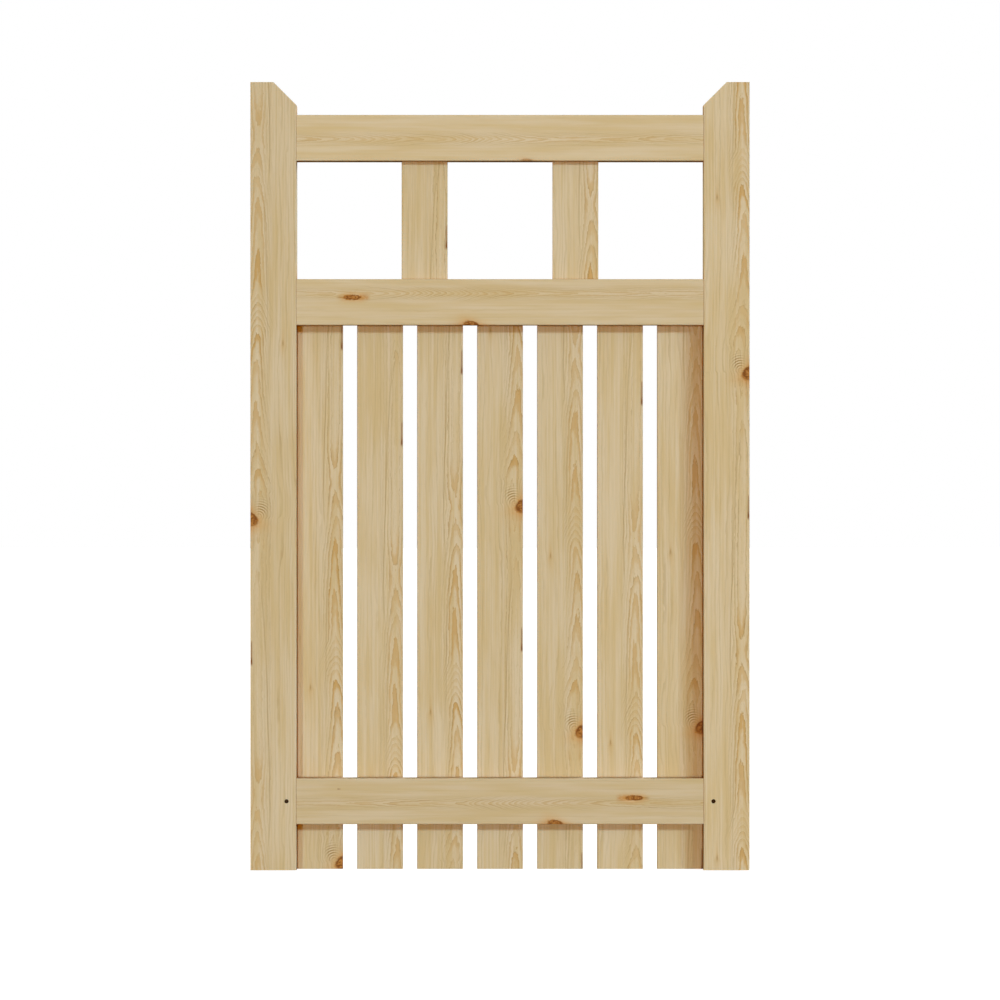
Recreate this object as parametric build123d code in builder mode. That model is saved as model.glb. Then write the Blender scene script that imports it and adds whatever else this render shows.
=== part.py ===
from build123d import *
import os

# Wooden garden gate, without its posts.
# Two stiles and three rails are joined by blind mortise and tenon joints. Slats stand in the
# open light under the top rail, and pales cover the back of the two lower rails.
# X runs across the gate from the outer edge of the left stile, Y from the front to the back
# and Z upwards from the feet of the stiles. The origin lies midway through the frame.

# Overall size
gate_width = 760.0
gate_height = 1200.0
frame_depth = 45.0

# Boards
stile_width = 70.0
rail_height = 70.0
slat_width = 70.0
slat_thickness = 12.0
slat_count = 2
pale_width = 70.0
pale_thickness = 12.0
pale_count = 7
arris_radius = 1.5

# Heights and cuts
bottom_rail_lift = 70.0
light_height = 180.0
shoulder_cut = 35.0
stile_horn = 15.0
pale_setdown = 10.0

# Joints between the boards
tenon_length = 40.0
tenon_thickness = 15.0
tenon_shoulder = 10.0
tongue_length = 15.0
tongue_shoulder = 10.0
fit_clearance = 0.25
end_clearance = 1.0

# Holes for the screws that lock the bottom tenons
screw_hole_diameter = 6.5
screw_hole_inset = 15.0
screw_hole_bite = 6.0

# Places worked out from the sizes above
front = -frame_depth / 2
back = frame_depth / 2
inner_width = gate_width - 2 * stile_width
thin_rail_depth = frame_depth - pale_thickness
top_rail_base = gate_height - shoulder_cut - stile_horn - rail_height
middle_rail_base = top_rail_base - light_height - rail_height
light_base = middle_rail_base + rail_height
rail_middles = [base + rail_height / 2 for base in (bottom_rail_lift, middle_rail_base, top_rail_base)]

# All tenons share one gauge line, centred on the two thinner rails
tenon_y = front + thin_rail_depth / 2
tenon_height = rail_height - 2 * tenon_shoulder
tongue_width = slat_width - 2 * tongue_shoulder
slat_gap = (inner_width - slat_count * slat_width) / (slat_count + 1)
slat_middles = [stile_width + (slat_gap + slat_width) * (i + 1) - slat_width / 2 for i in range(slat_count)]
pale_pitch = (inner_width - pale_width) / (pale_count - 1)
pale_height = light_base - pale_setdown

# The screw holes start on the front face and end a little way behind the tenon
screw_hole_depth = tenon_y + tenon_thickness / 2 + screw_hole_bite - front
left_screw_x = stile_width - screw_hole_inset
left_screw_face = Plane(origin=(left_screw_x, front, rail_middles[0]), z_dir=(0, -1, 0))
right_screw_face = Plane(origin=(gate_width - left_screw_x, front, rail_middles[0]), z_dir=(0, -1, 0))


def tenoned_rail(base, depth):
    """A rail with its face flush with the stiles and a tenon at each end."""
    middle = base + rail_height / 2
    with BuildPart() as rail:
        with BuildSketch(Plane.YZ.offset(stile_width)) as section:
            with Locations((front + depth / 2, middle)):
                Rectangle(depth, rail_height)
            fillet(section.vertices(), radius=arris_radius)
        extrude(amount=inner_width)
        with BuildSketch(Plane.YZ.offset(stile_width - tenon_length)):
            with Locations((tenon_y, middle)):
                Rectangle(tenon_thickness, tenon_height)
        extrude(amount=inner_width + 2 * tenon_length)
    return rail.part


os.makedirs("parts", exist_ok=True)

# Left stile: its top is cut to a slope on the side of the opening
with BuildPart() as left_stile:
    with BuildSketch(Plane.XZ.offset(-front)) as stile_outline:
        Rectangle(stile_width, gate_height, align=(Align.MIN, Align.MIN))
        inner_corner = stile_outline.vertices().group_by(Axis.X)[-1].sort_by(Axis.Y)[-1]
        chamfer(inner_corner, length=shoulder_cut)
    extrude(amount=-frame_depth)
    fillet(left_stile.edges().filter_by(Axis.Z), radius=arris_radius)
    with BuildSketch(Plane.YZ.offset(stile_width)):
        with Locations([(tenon_y, middle) for middle in rail_middles]):
            Rectangle(tenon_thickness + 2 * fit_clearance, tenon_height + 2 * fit_clearance)
    extrude(amount=-(tenon_length + end_clearance), mode=Mode.SUBTRACT)
    with Locations(left_screw_face):
        Hole(radius=screw_hole_diameter / 2, depth=screw_hole_depth)
left_stile.part.label = "left_stile"
export_step(left_stile.part, "parts/left_stile.step")

# Right stile: the left one mirrored across the middle of the gate
with BuildPart() as right_stile:
    mirror(left_stile.part, about=Plane.YZ.offset(gate_width / 2))
right_stile.part.label = "right_stile"
export_step(right_stile.part, "parts/right_stile.step")

# Top rail: as deep as the stiles, with mortises for the slats in its underside
with BuildPart() as top_rail:
    add(tenoned_rail(top_rail_base, frame_depth))
    with BuildSketch(Plane.XY.offset(top_rail_base)):
        with Locations([(middle, 0) for middle in slat_middles]):
            Rectangle(tongue_width + 2 * fit_clearance, slat_thickness + 2 * fit_clearance)
    extrude(amount=tongue_length + end_clearance, mode=Mode.SUBTRACT)
top_rail.part.label = "top_rail"
export_step(top_rail.part, "parts/top_rail.step")

# Middle rail: thinner by one pale, with mortises for the slats in its top edge
with BuildPart() as middle_rail:
    add(tenoned_rail(middle_rail_base, thin_rail_depth))
    with BuildSketch(Plane.XY.offset(light_base)):
        with Locations([(middle, 0) for middle in slat_middles]):
            Rectangle(tongue_width + 2 * fit_clearance, slat_thickness + 2 * fit_clearance)
    extrude(amount=-(tongue_length + end_clearance), mode=Mode.SUBTRACT)
middle_rail.part.label = "middle_rail"
export_step(middle_rail.part, "parts/middle_rail.step")

# Bottom rail: its tenons are bored for the locking screws
with BuildPart() as bottom_rail:
    add(tenoned_rail(bottom_rail_lift, thin_rail_depth))
    with Locations(left_screw_face, right_screw_face):
        Hole(radius=screw_hole_diameter / 2, depth=screw_hole_depth)
bottom_rail.part.label = "bottom_rail"
export_step(bottom_rail.part, "parts/bottom_rail.step")

# Slats: a shouldered tongue at each end stands in the rails, midway through the frame
for number, middle in enumerate(slat_middles, start=1):
    with BuildPart() as slat:
        with BuildSketch(Plane.XY.offset(light_base)) as slat_section:
            with Locations((middle, 0)):
                Rectangle(slat_width, slat_thickness)
            fillet(slat_section.vertices(), radius=arris_radius)
        extrude(amount=light_height)
        with BuildSketch(Plane.XY.offset(light_base - tongue_length)):
            with Locations((middle, 0)):
                Rectangle(tongue_width, slat_thickness)
        extrude(amount=light_height + 2 * tongue_length)
    slat.part.label = f"slat_{number}"
    export_step(slat.part, f"parts/slat_{number}.step")

# Pales: evenly spaced from stile to stile, against the back of the two thinner rails
for number in range(1, pale_count + 1):
    middle = stile_width + pale_width / 2 + (number - 1) * pale_pitch
    with BuildPart() as pale:
        with BuildSketch() as pale_section:
            with Locations((middle, back - pale_thickness / 2)):
                Rectangle(pale_width, pale_thickness)
            fillet(pale_section.vertices(), radius=arris_radius)
        extrude(amount=pale_height)
    pale.part.label = f"pale_{number}"
    export_step(pale.part, f"parts/pale_{number}.step")
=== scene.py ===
import math
from collections import namedtuple

import bmesh
import bpy
from mathutils import Matrix, Vector


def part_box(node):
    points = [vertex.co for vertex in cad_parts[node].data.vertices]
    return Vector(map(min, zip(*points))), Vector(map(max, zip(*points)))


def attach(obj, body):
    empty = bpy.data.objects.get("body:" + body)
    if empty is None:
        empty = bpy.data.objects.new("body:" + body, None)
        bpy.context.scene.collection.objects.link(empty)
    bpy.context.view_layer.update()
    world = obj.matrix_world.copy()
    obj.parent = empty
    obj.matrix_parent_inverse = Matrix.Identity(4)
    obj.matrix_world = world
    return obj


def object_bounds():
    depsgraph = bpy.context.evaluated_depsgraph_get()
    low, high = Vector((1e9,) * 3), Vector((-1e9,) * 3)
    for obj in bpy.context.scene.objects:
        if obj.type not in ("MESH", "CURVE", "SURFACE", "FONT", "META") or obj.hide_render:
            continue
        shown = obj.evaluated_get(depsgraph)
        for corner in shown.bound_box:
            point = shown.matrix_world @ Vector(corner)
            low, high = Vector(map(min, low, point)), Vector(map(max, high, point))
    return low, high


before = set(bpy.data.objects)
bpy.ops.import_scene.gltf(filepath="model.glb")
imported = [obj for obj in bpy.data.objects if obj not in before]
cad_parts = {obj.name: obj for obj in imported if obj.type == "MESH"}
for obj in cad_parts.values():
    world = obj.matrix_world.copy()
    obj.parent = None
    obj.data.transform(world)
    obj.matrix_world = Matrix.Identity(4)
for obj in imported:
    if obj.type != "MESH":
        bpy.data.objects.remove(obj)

cad_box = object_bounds()

MM = 0.001


# Shader kit

class Value:
    """A shader socket that takes part in arithmetic, where each step adds a Math node."""

    def __init__(self, socket):
        self.socket = socket

    def step(self, operation, first, second):
        tree = self.socket.id_data
        node = tree.nodes.new("ShaderNodeMath")
        node.operation = operation
        for socket, term in zip(node.inputs, (first, second)):
            if isinstance(term, Value):
                tree.links.new(term.socket, socket)
            else:
                socket.default_value = term
        return Value(node.outputs[0])

    def __add__(self, other):
        return self.step("ADD", self, other)

    def __radd__(self, other):
        return self.step("ADD", other, self)

    def __sub__(self, other):
        return self.step("SUBTRACT", self, other)

    def __rsub__(self, other):
        return self.step("SUBTRACT", other, self)

    def __mul__(self, other):
        return self.step("MULTIPLY", self, other)

    def __rmul__(self, other):
        return self.step("MULTIPLY", other, self)

    def __truediv__(self, other):
        return self.step("DIVIDE", self, other)

    def __rtruediv__(self, other):
        return self.step("DIVIDE", other, self)


class Nodes:
    """The nodes of one finish, or of the studio's light, written as short calls."""

    def __init__(self, tree):
        tree.nodes.clear()
        self.tree = tree

    def node(self, kind, settings=None, sockets=None, output=0):
        """Adds a node, sets it up, then fills or links its sockets, and gives one of its outputs."""
        node = self.tree.nodes.new("ShaderNode" + kind)
        for key, setting in (settings or {}).items():
            if key == "curve":
                self.draw_curve(node.mapping, setting)
            elif key == "stops":
                self.set_stops(node.color_ramp, setting)
            else:
                setattr(node, key, setting)
        for key, value in (sockets or {}).items():
            if isinstance(key, int):
                socket = node.inputs[key]
            else:
                socket = next(s for s in node.inputs if s.name == key and s.enabled)
            if isinstance(value, Value):
                self.tree.links.new(value.socket, socket)
            else:
                socket.default_value = value
        if isinstance(output, str):
            return Value(next(s for s in node.outputs if s.name == output and s.enabled))
        return Value(node.outputs[output]) if node.outputs else None

    @staticmethod
    def draw_curve(mapping, points):
        """Lays a float curve through points that run from 0 to 1."""
        curve = mapping.curves[0]
        for point in points[1:-1]:
            curve.points.new(*point)
        curve.points[0].location = points[0]
        curve.points[-1].location = points[-1]
        mapping.update()

    @staticmethod
    def set_stops(ramp, stops):
        """Sets a ramp's first and last stop."""
        for element, (position, colour) in zip(ramp.elements, stops):
            element.position = position
            element.color = colour

    def split(self, vector):
        """A vector's X, Y and Z by name."""
        sockets = self.node("SeparateXYZ", None, {"Vector": vector}).socket.node.outputs
        return {socket.name: Value(socket) for socket in sockets}

    def function(self, operation, value):
        """A Math node's operation on one value."""
        return self.node("Math", {"operation": operation}, {"Value": value})

    def rise(self, value, low, high):
        """0 below low, 1 above high and smooth between them."""
        ends = {"Value": value, "From Min": low, "From Max": high}
        return self.node("MapRange", {"interpolation_type": "SMOOTHSTEP"}, ends)

    def bell(self, value):
        """1 at 0, falling away smoothly on both sides to about a third at 1."""
        return self.function("EXPONENT", value * value * -1.0)

    def noise(self, x, y, z, detail=1.0):
        """Noise about 0, with lumps about one unit wide."""
        place = self.node("CombineXYZ", None, {"X": x, "Y": y, "Z": z})
        sockets = {"Vector": place, "Scale": 1.0, "Detail": detail, "Roughness": 0.55}
        return self.node("TexNoise", None, sockets) - 0.5

    def chance(self, value):
        """A number between 0 and 1, the same wherever value is the same."""
        return self.node("TexWhiteNoise", {"noise_dimensions": "1D"}, {"W": value}, "Value")

    def curve(self, value, points, length):
        """A curve over value, drawn through points (place, height) that run from 0 to length."""
        top = max(height for place, height in points)
        scaled = [(place / length, height / top) for place, height in points]
        return self.node("FloatCurve", {"curve": scaled}, {"Value": value}) * top

    def blend(self, factor, first, second, mode="MIX"):
        """Goes from the first colour to the second, or multiplies them, as far as factor says."""
        settings = {"data_type": "RGBA", "blend_type": mode}
        return self.node("Mix", settings, {"Factor": factor, "A": first, "B": second}, "Result")


def new_finish(name):
    """A new material, and its nodes to write."""
    material = bpy.data.materials.new(name)
    material.use_nodes = True
    return material, Nodes(material.node_tree)


def end_finish(nodes, sockets):
    """Ends a material in a Principled surface."""
    shader = nodes.node("BsdfPrincipled", None, sockets)
    nodes.node("OutputMaterial", None, {"Surface": shader})


def tone(red, green, blue):
    """A colour as the screen shows it, from 0 to 255, turned into light."""
    return tuple(((c / 255 + 0.055) / 1.055) ** 2.4 for c in (red, green, blue)) + (1.0,)


# Pine

PALE_WOOD = tone(209, 189, 155)
STRAW_WOOD = tone(201, 176, 130)
LATE_WOOD = tone(160, 130, 78)
CREAM_WOOD = tone(220, 202, 166)
FLAME_WOOD = tone(193, 155, 96)
FLAME_EDGE = tone(152, 120, 66)
KNOT_BRIGHT = tone(180, 122, 56)
KNOT_DARK = tone(116, 62, 8)
KNOT_STAIN = tone(200, 144, 70)
END_WOOD = tone(238, 226, 206)
# Painted shade: the colour that the wood is multiplied by in its corners and joints.
CORNER_SHADE_WOOD = tone(218, 150, 82)

# Lengths are in millimetres. flame is the path, along and across, of the line up a board's face that
# stands over the heart of the tree, and heart is how deep the heart lies behind it. spread is the
# year rings' width there, and reach how far from the path they show. climb counts the rings that the
# face has crossed on the path, flush says how golden they are and straw how yellow the board is.
# line is the path of one strong line, and bold how strong it is. contrast is how plain all the lines
# are. The pattern comes again after one period.
Timber = namedtuple(
    "Timber", "period heart reach contrast flame spread climb flush straw line bold swirl knots")
# The middle of the arcs beside a knot, and the room between them.
Swirl = namedtuple("Swirl", "across along spacing")
# The knot's middle, its half sizes, how far it goes in, how dark it is, and on a long knot the way
# that its blunt end points.
Knot = namedtuple("Knot", "across along half_across half_along depth strength lean", defaults=(0,))
# How one board is cut from its timber: how far the pattern is shifted along it, whether the board is
# turned over, and how light it is.
Cut = namedtuple("Cut", "offset mirrored shade", defaults=(0.0, False, 1.0))

# A knot weaker than the first is a pin, one narrower than the second only grazes the board, and one
# wider than the third bends the year rings round it.
PIN_STRENGTH = 0.5
SLIT_HALF_WIDTH = 1.5
BENDING_HALF_WIDTH = 3

# Whole turns added to a place along the timber, so that it stays above zero.
TURNS_AHEAD = 10.0
# The room between the thin lines beside the tongues, and the veins in one year ring.
LINE_ROOM = 5.2
VEINS_PER_RING = 3.0
# How far from a corner the painted shade reaches on a face, and how much further on a side.
FACE_CORNER = 5
SIDE_CORNER = 40
FIBRE_RELIEF = 0.3 * MM

UPRIGHT = Timber(
    period=1006, heart=9, reach=12, contrast=1.0,
    flame=(
        (0, 57), (20, 53.5), (41, 54.5), (58, 56.5), (76, 58.5), (110, 60), (150, 61.5), (184, 62),
        (250, 61), (285, 58.7), (343, 59), (419, 57.5), (493, 58.7), (525, 60), (564, 58.5),
        (595, 57.8), (750, 59), (925, 60.3), (968, 57.8), (1006, 57),
    ),
    spread=(
        (0, 3.2), (31, 3.2), (45, 5.2), (80, 6.2), (115, 5.2), (160, 4.2), (200, 3.6), (280, 3.2),
        (341, 3.1), (420, 3.4), (500, 3.4), (525, 4.2), (566, 4.4), (600, 3.6), (700, 3.5),
        (900, 4.0), (930, 4.6), (970, 4.0), (1006, 3.2),
    ),
    climb=(
        (0, 8), (20, 8.4), (41, 9), (76, 10), (110, 11), (184, 12), (242, 13), (284, 14), (297, 15),
        (308, 16), (318, 17), (330, 18), (343, 19), (419, 20), (493, 21), (525, 22), (566, 23),
        (580, 23.2), (595, 23), (625, 22.5), (700, 22.35), (860, 22.4), (927, 23), (946, 23.25),
        (968, 23), (990, 22.4), (1006, 22),
    ),
    flush=(
        (0, 0.1), (30, 0.1), (40, 0.5), (48, 0.5), (62, 0.9), (76, 1.0), (90, 0.4), (112, 0.5),
        (150, 0.8), (185, 0.9), (200, 0.7), (284, 1.0), (292, 0.4), (343, 0.4), (360, 1.0),
        (490, 1.0), (505, 0.5), (525, 0.6), (566, 0.7), (595, 0.8), (612, 0.8), (670, 0.1),
        (900, 0.08), (922, 0.3), (940, 0.1), (958, 0.2), (970, 0.6), (982, 0.1), (1006, 0.1),
    ),
    straw=(
        (0, 0.72), (100, 0.66), (190, 0.34), (260, 0.4), (310, 0.6), (400, 0.5), (503, 0.4), (600, 0.3),
        (754, 0.4), (810, 0.62), (900, 0.74), (1006, 0.7),
    ),
    line=(
        (0, 39), (100, 41), (200, 44), (300, 44), (403, 46), (478, 49), (503, 44), (545, 40.7),
        (650, 41.7), (690, 43.6), (760, 45), (860, 50), (900, 53), (1006, 48),
    ),
    bold=(
        (0, 0), (180, 0), (260, 0.3), (400, 0.6), (470, 0.5), (500, 0.1), (535, 0.8), (740, 1.0),
        (800, 0.6), (880, 0.6), (925, 0), (1006, 0),
    ),
    swirl=Swirl(57, 4, 3.8),
    knots=(
        Knot(69.5, -0.5, 12, 11.5, 40, 1.0),
        Knot(20.5, 268, 1.2, 4.5, 8, 0.4),
        Knot(68.3, 802, 1.2, 21, 6, 1.0),
    ),
)


def plain_rail(across, climb, knots):
    """The timber of a rail, where the rings show close to a straight path across the face."""
    level = (0, 0.5), (380, 0.5), (760, 0.5)
    path = (0, across), (380, across), (760, across)
    width = (0, 2.4), (380, 2.4), (760, 2.4)
    return Timber(760, 3, 6, 0.4, path, width, climb, level, level, None, None, None, knots)


TOP_RAIL = plain_rail(
    33,
    (
        (0, 0), (90, 1.5), (140, 3), (230, 8), (300, 10), (320, 11.5), (385, 17), (455, 20),
        (500, 20.4), (530, 20), (580, 19.2), (624, 18), (680, 17), (760, 16.5),
    ),
    (Knot(1, 421, 2.6, 9, 12, 0.5),),
)

MIDDLE_RAIL = plain_rail(
    48,
    (
        (0, 0), (150, 1), (190, 2), (300, 11), (380, 18), (440, 20), (560, 21.5), (680, 22.5),
        (760, 23.5),
    ),
    (Knot(42.2, 155, 4.4, 14.5, 25, 1.0, -1), Knot(0.5, 335.9, 6.5, 13, 25, 1.0)),
)

BOTTOM_RAIL = plain_rail(
    32,
    (
        (0, 24), (80, 23.4), (150, 23), (230, 21.4), (315, 20), (350, 17), (517, 4), (600, 2), (680, 1),
        (760, 0.5),
    ),
    (
        Knot(40.2, 584, 4.4, 14.5, 25, 1.0, 1), Knot(1, 463.8, 6.5, 13, 25, 1.0),
        Knot(53.7, 135, 0.7, 2.6, 8, 0.8),
    ),
)


class Grain:
    """One board's pine. Its year rings run right through the board, so every face shows them."""

    def __init__(self, name, axes, corner, width, timber, cut, seed):
        """axes are the row axes across, through and along the board, and corner its low corner."""
        self.material, self.wood = new_finish(name)
        self.axes = axes
        self.timber = timber
        self.cut = cut
        self.seed = seed
        place = self.wood.split(self.wood.node("TexCoord", None, None, "Object"))
        start = dict(zip("XYZ", corner))
        self.across, self.through, self.along = [(place[axis] - start[axis]) / MM for axis in axes]
        if cut.mirrored:
            self.across = width - self.across
        turns = (self.along - cut.offset) / timber.period
        self.turn = self.wood.function("FRACT", turns + TURNS_AHEAD)

    def noise(self, fine_across, fine_along, shift, detail=1.0):
        """Noise with lumps of these sizes across and along the grain."""
        across = self.across / fine_across
        through = self.through / fine_across
        along = self.along / fine_along + (self.seed + shift)
        return self.wood.noise(across, through, along, detail)

    def path(self, points):
        """A height that changes along the board as its timber's points say."""
        return self.wood.curve(self.turn, points, self.timber.period)

    def distance_along(self, place):
        """Millimetres along the board from the nearest repeat of a place in the timber."""
        turns = (self.along - (self.cut.offset + place)) / self.timber.period
        return (self.wood.function("FRACT", turns + (TURNS_AHEAD + 0.5)) - 0.5) * self.timber.period

    def draw_knots(self):
        """Each knot's distance, where 1 is its outline, and a ragged form of it."""
        self.knots = []
        for number, knot in enumerate(self.timber.knots):
            across = (self.across - knot.across) / knot.half_across
            along = self.distance_along(knot.along) / knot.half_along
            through = self.through / knot.depth
            length = along * along
            if knot.lean:
                length = length * (0.4 + 0.6 * length)
            else:
                taper = {"From Min": -1.0, "From Max": 1.5, "To Min": 0.7, "To Max": 1.45}
                across = across * self.wood.node("MapRange", None, {"Value": along, **taper})
            plain = self.wood.function("SQRT", across * across + length + through * through)
            rough = self.noise(knot.half_across * 0.5, knot.half_along * 0.3, 40.0 + number, 2.0)
            self.knots.append((knot, across, along, plain, rough))

    def draw_flame(self):
        """The year rings where the face crosses them: golden tongues with dark edges."""
        wood = self.wood
        timber = self.timber
        self.fibre = self.noise(0.9, 34, 21.1, 2.0)
        self.slip = self.noise(16, 90, 5.7)
        wander = 2.4 * self.noise(60, 70, 3.1) + 4.0 * self.noise(9, 26, 17.3, 2.0)
        off_flame = self.across - self.path(timber.flame) + wander
        off_heart = self.through - timber.heart
        self.out = wood.function("SQRT", off_flame * off_flame + off_heart * off_heart)
        off_flame = wood.function("ABSOLUTE", off_flame)
        self.core = 1 - wood.rise(off_flame, 0.45 * timber.reach, 1.3 * timber.reach)
        self.near = 1 - wood.rise(off_flame, timber.reach, 2.3 * timber.reach)

        spread = self.path(timber.spread)
        rings = self.path(timber.climb) + (self.out - timber.heart) / spread
        rings = rings + 0.7 * self.slip + 0.4 * self.fibre + 0.7 * self.noise(4, 13, 33.7, 2.0)
        for knot, across, along, plain, rough in self.knots:
            if knot.half_across > BENDING_HALF_WIDTH:
                rings = rings + 0.8 * wood.bell(plain / 2.2)
        part = wood.function("FRACT", rings)
        chance = wood.chance(wood.function("FLOOR", rings) + self.seed)
        broken = wood.rise(self.noise(8, 60, 35.1), -0.2, 0.15)
        strong = (0.25 + 0.75 * chance) * (0.4 + 0.6 * broken) * self.near
        slope = off_flame / (self.out * spread) + 0.03
        inside = (1 - part) / slope
        outside = part / slope
        golden = (1.0 + 0.8 * self.fibre) * (0.7 + 0.5 * chance)
        self.fill = wood.rise(part, 0.34, 0.74) * golden * self.core
        self.edge = (1 - wood.rise(inside, 0.4, 1.8)) * strong
        self.gleam = (1 - wood.rise(outside, 0.8, 2.4)) * strong
        self.draw_veins(rings, slope)
        if timber.swirl:
            self.draw_swirl(timber.swirl)

    def draw_veins(self, rings, slope):
        """Thin lines that follow the tongues between one year ring and the next."""
        wood = self.wood
        veins = rings * VEINS_PER_RING + 0.3 * self.slip
        room = (1 - wood.function("FRACT", veins)) / (slope * VEINS_PER_RING)
        strong = wood.chance(wood.function("FLOOR", veins) + (self.seed + 0.5))
        self.edge = self.edge + 0.45 * (1 - wood.rise(room, 0.3, 1.1)) * strong * self.near

    def draw_swirl(self, swirl):
        """Tight arcs where the grain turns round the shoulder of a knot."""
        wood = self.wood
        across = self.across - swirl.across
        along = self.distance_along(swirl.along)
        out = wood.function("SQRT", across * across + along * along) + 1.2 * self.slip
        window = wood.bell((across + 4.5) / 7.0) * wood.bell((along - 12) / 11)
        wave = wood.function("COSINE", out * (2 * math.pi / swirl.spacing))
        self.edge = self.edge + (1.1 + 1.1 * wave) * window
        self.gleam = self.gleam + (3.4 - 3.4 * wave) * window

    def draw_lines(self):
        """The year rings where the face runs along them: thin broken lines."""
        wood = self.wood
        lines = self.out / LINE_ROOM + 2.4 * self.noise(12, 520, 8.3)
        lines = lines + 0.5 * self.slip + 0.15 * self.fibre
        part = wood.function("FRACT", lines)
        strong = wood.chance(wood.function("FLOOR", lines) + self.seed)
        broken = wood.rise(self.noise(7, 120, 11.7), -0.22, 0.2)
        self.ring = wood.rise(part, 0.5, 0.9) * (1 - wood.rise(part, 0.93, 1.0))
        self.line = self.ring * strong * (0.25 + 0.75 * broken) * (1 - self.near)
        if self.timber.line:
            off_line = self.across - self.path(self.timber.line) + 1.6 * self.slip + 0.5 * self.fibre
            bold = self.path(self.timber.bold)
            self.line = self.line + 1.3 * wood.bell(off_line / 0.8) * bold
            self.gleam = self.gleam + 2.2 * wood.bell((off_line - 2.4) / 1.1) * bold

    def paint_face(self):
        """The planed wood: pale and straw patches, then the tongues, lines and fibres over them."""
        wood = self.wood
        flush = self.path(self.timber.flush)
        contrast = self.timber.contrast
        patch = 0.75 * self.noise(14, 170, 12.9, 2.0) + (0.5 * contrast) * self.noise(3.2, 420, 15.3)
        patch = patch + (self.path(self.timber.straw) - 0.5) * 0.3
        wisp = wood.rise(self.noise(2.4, 42, 27.9), 0.14, 0.28)
        colour = wood.blend(wood.rise(patch, -0.2, 0.2), PALE_WOOD, STRAW_WOOD)
        colour = wood.blend(self.gleam * (0.08 + 0.07 * contrast), colour, CREAM_WOOD)
        colour = wood.blend(self.fill * flush * 0.85, colour, FLAME_WOOD)
        colour = wood.blend(self.edge * (0.24 + 0.22 * contrast), colour, FLAME_EDGE)
        colour = wood.blend(self.line * (0.45 * contrast), colour, LATE_WOOD)
        colour = wood.blend(wisp * (0.16 * contrast), colour, LATE_WOOD)
        light = self.cut.shade * (1 + 0.2 * contrast * self.fibre)
        self.colour = wood.blend(1.0, colour, light, "MULTIPLY")
        self.rough = 0.72 + 0.14 * self.fibre

    def paint_knots(self):
        """Paints each knot in the way of its kind."""
        for knot, across, along, plain, rough in self.knots:
            if knot.strength < PIN_STRENGTH:
                self.paint_pin(across, along, plain)
                continue
            if knot.half_across < SLIT_HALF_WIDTH:
                self.paint_slit(knot, across, along)
                continue
            if knot.lean:
                self.paint_tails(across * float(knot.lean), along * float(knot.lean), rough)
            self.paint_knot(knot, across, along, plain, rough)

    def paint_pin(self, across, along, plain):
        """A pin knot: a dot in a golden smudge."""
        wood = self.wood
        smudge = wood.bell(across / 2.6) * wood.bell(along / 4.0)
        self.colour = wood.blend(smudge * 0.5, self.colour, FLAME_WOOD)
        self.colour = wood.blend(wood.bell(plain) * 0.6, self.colour, FLAME_EDGE)

    def paint_slit(self, knot, across, along):
        """The edge of a knot that only grazes the board: a dark slit, darkest at its lower end."""
        wood = self.wood
        length = 1 - wood.rise(wood.function("ABSOLUTE", along), 0.7, 1.0)
        fade = (1 - 0.35 * wood.rise(along, -0.6, -0.2)) * wood.bell(self.through / knot.depth)
        slit = wood.bell(across) * length * fade * knot.strength
        self.colour = wood.blend(slit, self.colour, KNOT_DARK)

    def paint_tails(self, across, along, rough):
        """The ends of a long knot: a thin dark line past the blunt one, frayed wood past the other."""
        wood = self.wood
        line = wood.bell(across * 3.0) * wood.rise(along, 0.7, 1.0) * (1 - wood.rise(along, 1.2, 1.8))
        back = along * -1.0
        fray = wood.bell(across) * wood.rise(back, 0.5, 0.9) * (1 - wood.rise(back, 1.3, 2.1))
        fray = fray * wood.rise(rough, -0.22, 0.05)
        spot = wood.bell((across + 1.0) * 2.6) * wood.bell((along + 0.4) * 1.6)
        self.colour = wood.blend(spot * 0.7, self.colour, CREAM_WOOD)
        self.colour = wood.blend(fray * 0.85, self.colour, KNOT_BRIGHT)
        self.colour = wood.blend(line * 0.85, self.colour, FLAME_EDGE)

    def paint_knot(self, knot, across, along, plain, rough):
        """A round or long knot: a ragged cracked body with a dark rim, in a stain."""
        wood = self.wood
        ragged = plain + (1.3 if knot.lean else 0.6) * rough
        stain = wood.bell(ragged / 1.45) * (0.75 * knot.strength)
        body = (1 - wood.rise(ragged, 0.74, 1.1)) * knot.strength
        crack = wood.rise(rough, -0.1, 0.1)
        rim = wood.rise(plain, 0.45, 0.75) * (1 - wood.rise(plain, 0.8, 1.0))
        rim = rim * (0.3 + 0.6 * wood.rise(along, -0.5, 0.3))
        heart = wood.blend(crack * 0.9, KNOT_BRIGHT, KNOT_DARK)
        heart = wood.blend(rim, heart, KNOT_DARK)
        self.colour = wood.blend(stain, self.colour, KNOT_STAIN)
        if not knot.lean:
            tail = wood.bell(across * 2.2) * wood.bell(along * 0.5) * (0.5 * knot.strength)
            self.colour = wood.blend(tail, self.colour, KNOT_BRIGHT)
        self.colour = wood.blend(body * 0.97, self.colour, heart)
        self.rough = self.rough - 0.1 * body

    def paint_ends(self):
        """End grain: a little darker, rougher, with the year rings plain to see."""
        wood = self.wood
        facing = wood.split(wood.node("NewGeometry", None, None, "Normal"))[self.axes[2]]
        end = wood.rise(wood.function("ABSOLUTE", facing), 0.5, 0.7)
        colour = wood.blend(1.0, self.colour, END_WOOD, "MULTIPLY")
        colour = wood.blend(self.ring * 0.5, colour, LATE_WOOD)
        colour = wood.blend(1.0, colour, 1 + 0.3 * self.noise(0.7, 0.7, 31.0), "MULTIPLY")
        self.colour = wood.blend(end, self.colour, colour)
        self.rough = self.rough + 0.2 * end

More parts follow.
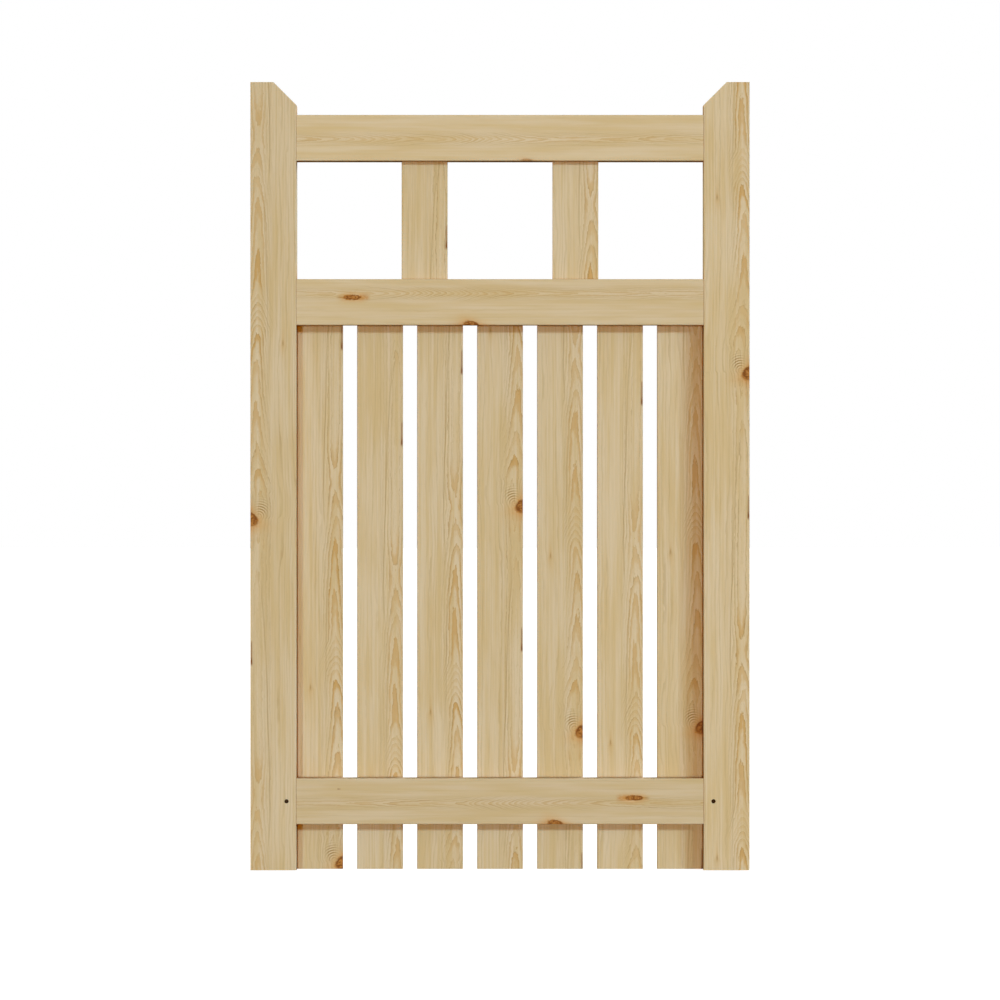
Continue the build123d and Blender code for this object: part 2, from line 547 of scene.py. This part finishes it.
    def paint_corner_shade(self):
        """Painted shade: darkens the wood's colour in the corners, the joints and between the boards,
        as far as ambient occlusion finds them closed in.
        """
        wood = self.wood
        facing = wood.split(wood.node("NewGeometry", None, None, "Normal"))[self.axes[0]]
        side = wood.rise(wood.function("ABSOLUTE", facing), 0.4, 0.9)
        distance = (FACE_CORNER + SIDE_CORNER * side) * MM
        openness = wood.node("AmbientOcclusion", {"samples": 6}, {"Distance": distance}, "AO")
        shade = 1 - wood.rise(openness, 0.2, 0.8 + 0.2 * side)
        self.colour = wood.blend(shade, self.colour, CORNER_SHADE_WOOD, "MULTIPLY")

    def finish(self):
        """Draws and paints the board in order, and gives its material."""
        self.draw_knots()
        self.draw_flame()
        self.draw_lines()
        self.paint_face()
        self.paint_knots()
        self.paint_ends()
        # Painted shade in the corners, the joints and between the boards.
        self.paint_corner_shade()
        relief = {"Strength": 0.15, "Distance": FIBRE_RELIEF, "Height": self.fibre}
        end_finish(self.wood, {
            "Base Color": self.colour,
            "Roughness": self.rough,
            "Specular IOR Level": 0.12,
            "Normal": self.wood.node("Bump", None, relief, "Normal"),
        })
        return self.material


# Boards

UPRIGHT_CUTS = {
    "left_stile": Cut(534.7, True, 0.97),
    "right_stile": Cut(757.0, False, 1.02),
    "slat_1": Cut(163.0, False, 0.98),
    "slat_2": Cut(430.0, False, 1.0),
    "pale_1": Cut(9.5, False, 0.97),
    "pale_2": Cut(-137.0, False, 0.98),
    "pale_3": Cut(-28.0, False, 0.98),
    "pale_4": Cut(554.5, False, 0.98),
    "pale_5": Cut(210.5, False, 0.98),
    "pale_6": Cut(-75.0, False, 1.0),
    "pale_7": Cut(216.6, False, 1.0),
}

# The bottom rail is darker and the top rail lighter. This is partly painted shade, for light that is
# weaker towards the gate's feet, and partly each board's own tone.
RAIL_CUTS = {
    "top_rail": (TOP_RAIL, Cut(shade=1.02)),
    "middle_rail": (MIDDLE_RAIL, Cut(shade=0.99)),
    "bottom_rail": (BOTTOM_RAIL, Cut(shade=0.94)),
}

# Each board's noise starts at a place of its own.
UPRIGHT_SEED_STEP = 7.7
RAIL_SEED = 101.3
RAIL_SEED_STEP = 9.1


def dress(node, axes, timber, cut, seed):
    """Gives a board its own pine. Places along it are counted from the gate's left edge or its feet."""
    low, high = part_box(node)
    length_axis = "XYZ".index(axes[2])
    width_axis = "XYZ".index(axes[0])
    width = (high - low)[width_axis] / MM
    low[length_axis] = 0.0
    grain = Grain("pine_" + node, axes, low, width, timber, cut, seed)
    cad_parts[node].material_slots[0].material = grain.finish()


for number, (node, cut) in enumerate(UPRIGHT_CUTS.items()):
    dress(node, "XYZ", UPRIGHT, cut, UPRIGHT_SEED_STEP * number)
for number, (node, (timber, cut)) in enumerate(RAIL_CUTS.items()):
    dress(node, "ZYX", timber, cut, RAIL_SEED + RAIL_SEED_STEP * number)


# Fastenings

def steel(name, colour, rough):
    """A dull metal finish, a little blotched."""
    material, nodes = new_finish(name)
    place = nodes.split(nodes.node("TexCoord", None, None, "Object"))
    blotch = nodes.noise(place["X"] / MM, place["Y"] / MM, place["Z"] / MM, 2.0)
    shaded = nodes.blend(1.0, colour, 1 + 0.5 * blotch, "MULTIPLY")
    end_finish(nodes, {"Base Color": shaded, "Metallic": 1.0, "Roughness": rough + 0.3 * blotch})
    return material


def add_piece(name, bm, material):
    """Ends a mesh as a piece that rides on the gate."""
    mesh = bpy.data.meshes.new(name)
    bmesh.ops.recalc_face_normals(bm, faces=bm.faces)
    bm.to_mesh(mesh)
    bm.free()
    mesh.materials.append(material)
    piece = bpy.data.objects.new(name, mesh)
    bpy.context.scene.collection.objects.link(piece)
    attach(piece, "root")


def add_ring(bm, radius, height, count):
    """A ring of vertices about the Z axis."""
    angles = [2 * math.pi * i / count for i in range(count)]
    return [bm.verts.new((radius * math.cos(a), radius * math.sin(a), height)) for a in angles]


def join_rings(bm, first, second):
    """Smooth faces between two rings."""
    count = len(first)
    for i in range(count):
        j = (i + 1) % count
        face = bm.faces.new((first[i], first[j], second[j], second[i]))
        face.smooth = True


def turned(bm, profile, count):
    """Turns a profile of (radius, height) about the Z axis, and gives its rings of vertices."""
    rings = [add_ring(bm, radius, height, count) for radius, height in profile]
    for first, second in zip(rings, rings[1:]):
        join_rings(bm, first, second)
    return rings


ZINC = (0.52, 0.53, 0.54, 1)
NAIL_HEAD = ((2.5, -0.1), (2.5, 0.12), (2.2, 0.34), (1.5, 0.52), (0.6, 0.6))
NAIL_SIDES = 14
NAIL_SPREAD = 20 * MM
NAIL_STAGGER = 12 * MM


def make_nails():
    """Two nail heads where each pale crosses a lower rail, on the back of the pale."""
    bm = bmesh.new()
    for pale in [node for node in UPRIGHT_CUTS if node.startswith("pale")]:
        low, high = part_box(pale)
        middle = (low.x + high.x) / 2
        for rail in ("bottom_rail", "middle_rail"):
            rail_low, rail_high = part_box(rail)
            height = (rail_low.z + rail_high.z) / 2
            for side in (-1, 1):
                rings = turned(bm, [(r * MM, h * MM) for r, h in NAIL_HEAD], NAIL_SIDES)
                bm.faces.new(rings[-1])
                spot = Vector((middle + side * NAIL_SPREAD, high.y, height + side * NAIL_STAGGER))
                place = Matrix.Translation(spot) @ Matrix.Rotation(math.radians(-90), 4, "X")
                verts = [v for ring in rings for v in ring]
                bmesh.ops.transform(bm, matrix=place, verts=verts)
    add_piece("nail_heads", bm, steel("zinc", ZINC, 0.42))


# The hole stands in the front of each stile, over the tenon of the bottom rail.
HOLE_INSET = 15 * MM
BROWNED_STEEL = (0.03, 0.018, 0.009, 1)
SCREW_SUNK = 3.0 * MM
SCREW_HEAD = ((2.2, -3.2), (2.9, -2.2), (2.95, -0.5), (2.7, -0.12), (2.2, 0.0))
SCREW_SIDES = 24
CROSS_ARM = 1.7
CROSS_HALF = 0.4
CROSS_DEPTH = 1.4
CROSS_TAPER = 0.6


def cross_outline():
    """The cross of the screw's recess, going round from its right arm."""
    corners = ((CROSS_ARM, -CROSS_HALF), (CROSS_ARM, CROSS_HALF), (CROSS_HALF, CROSS_HALF))
    outline = []
    for turn in range(4):
        spin = Matrix.Rotation(math.radians(90 * turn), 2)
        outline += [spin @ Vector(corner) for corner in corners]
    return outline


def make_screws():
    """The sunk screws that lock the bottom rail's tenons, each with a cross recess."""
    bm = bmesh.new()
    front = cad_box[0].y
    rail_low, rail_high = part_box("bottom_rail")
    height = (rail_low.z + rail_high.z) / 2
    holes = (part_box("left_stile")[1].x - HOLE_INSET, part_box("right_stile")[0].x + HOLE_INSET)
    for across in holes:
        rings = turned(bm, [(r * MM, h * MM) for r, h in SCREW_HEAD], SCREW_SIDES)
        rim = [bm.verts.new((p.x * MM, p.y * MM, 0)) for p in cross_outline()]
        floor = [
            bm.verts.new((p.x * CROSS_TAPER * MM, p.y * CROSS_TAPER * MM, -CROSS_DEPTH * MM))
            for p in cross_outline()
        ]
        edges = [bm.edges.get((rings[-1][i - 1], rings[-1][i])) for i in range(len(rings[-1]))]
        edges += [bm.edges.new((rim[i - 1], rim[i])) for i in range(len(rim))]
        bmesh.ops.triangle_fill(bm, use_beauty=True, edges=edges)
        for i in range(len(rim)):
            bm.faces.new((rim[i - 1], rim[i], floor[i], floor[i - 1]))
        bm.faces.new(floor)
        verts = [v for ring in rings for v in ring] + rim + floor
        spot = Vector((across, front + SCREW_SUNK, height))
        place = Matrix.Translation(spot) @ Matrix.Rotation(math.radians(90), 4, "X")
        bmesh.ops.transform(bm, matrix=place, verts=verts)
    add_piece("locking_screws", bm, steel("browned_steel", BROWNED_STEEL, 0.5))


make_nails()
make_screws()


# Stage

FRONT_FACE = cad_box[0].y
MIDDLE_X = (cad_box[0].x + cad_box[1].x) / 2
# The photograph's side and the rows of its horizon and of the gate's feet are in pixels, and its scale
# is the size of one pixel at the front face.
PHOTO_SIDE = 1000
PHOTO_SCALE = 1.5223 * MM
PHOTO_HORIZON = 476.0
PHOTO_FOOT = 870.3
CAMERA_DISTANCE = 9.0
SENSOR_WIDTH = 36.0
VIEW_END = 200.0
FLOOR_HALF = 40.0
FLOOR_DROP = 0.5 * MM


def make_camera():
    """A camera that frames the gate as the photograph does."""
    camera = bpy.data.cameras.new("camera")
    camera.sensor_width = SENSOR_WIDTH
    camera.lens = SENSOR_WIDTH * CAMERA_DISTANCE / (PHOTO_SIDE * PHOTO_SCALE)
    camera.shift_y = (PHOTO_HORIZON - PHOTO_SIDE / 2) / PHOTO_SIDE
    camera.clip_end = VIEW_END
    holder = bpy.data.objects.new("camera", camera)
    height = (PHOTO_FOOT - PHOTO_HORIZON) * PHOTO_SCALE
    holder.location = (MIDDLE_X, FRONT_FACE - CAMERA_DISTANCE, height)
    holder.rotation_euler = (math.radians(90), 0, 0)
    bpy.context.scene.collection.objects.link(holder)
    bpy.context.scene.camera = holder


def make_lamp(name, travel, angle, light):
    """A distant lamp. light is what it gives to a front or back face, in red, green and blue."""
    lamp = bpy.data.lights.new(name, "SUN")
    way = Vector(travel).normalized()
    strongest = max(light)
    lamp.energy = strongest * math.pi / abs(way.y)
    lamp.color = [part / strongest for part in light]
    lamp.angle = math.radians(angle)
    holder = bpy.data.objects.new(name, lamp)
    holder.rotation_euler = way.to_track_quat("-Z", "Y").to_euler()
    bpy.context.scene.collection.objects.link(holder)


def make_studio():
    """Soft light from all round, warm and weak from below, in front of a white backdrop."""
    world = bpy.data.worlds.new("studio")
    bpy.context.scene.world = world
    world.use_nodes = True
    studio = Nodes(world.node_tree)
    way = studio.split(studio.node("TexCoord", None, None, "Generated"))
    stops = ((0.47, (0.07, 0.035, 0.01, 1)), (0.7, (0.34, 0.28, 0.19, 1)))
    glow = studio.node("ValToRGB", {"stops": stops}, {"Fac": 0.5 * way["Z"] + 0.5}, "Color")
    soft = studio.node("Background", None, {"Color": glow, "Strength": 1.0})
    white = studio.node("Background", None, {"Color": (1, 1, 1, 1), "Strength": 1.0})
    seen = studio.node("LightPath", None, None, "Is Camera Ray")
    both = studio.node("MixShader", None, {0: seen, 1: soft, 2: white})
    studio.node("OutputWorld", None, {"Surface": both})


def make_floor():
    """A plain white floor that neither lights nor shades the gate."""
    bm = bmesh.new()
    bmesh.ops.create_grid(bm, x_segments=1, y_segments=1, size=FLOOR_HALF)
    mesh = bpy.data.meshes.new("floor")
    bm.to_mesh(mesh)
    bm.free()
    floor = bpy.data.objects.new("floor", mesh)
    floor.location = (MIDDLE_X, 0.0, cad_box[0].z - FLOOR_DROP)
    bpy.context.scene.collection.objects.link(floor)
    material, nodes = new_finish("floor")
    end_finish(nodes, {
        "Base Color": (0.5, 0.5, 0.5, 1), "Roughness": 0.9, "Specular IOR Level": 0.0,
        "Emission Color": (1, 1, 1, 1), "Emission Strength": 0.88,
    })
    mesh.materials.append(material)
    floor.visible_diffuse = False
    floor.visible_glossy = False
    floor.visible_shadow = False


make_floor()
make_studio()
make_lamp("front_fill", (0.0, 1.0, 0.02), 8.0, (0.31, 0.135, 0.008))
for number, aside in enumerate((-0.5, -0.8, -1.1)):
    make_lamp("right_lamp_%d" % number, (aside, 1.0, -0.34), 5.0, (0.103, 0.148, 0.184))
make_lamp("left_lamp", (0.28, 1.0, -0.02), 4.0, (0.19, 0.28, 0.33))
make_lamp("back_lamp", (-0.6, -1.0, -0.5), 30.0, (0.78, 0.80, 0.82))
make_lamp("left_side_lamp", (1.0, -0.15, -0.02), 20.0, (0.07, 0.07, 0.066))
make_camera()
bpy.context.scene.view_settings.view_transform = "Standard"
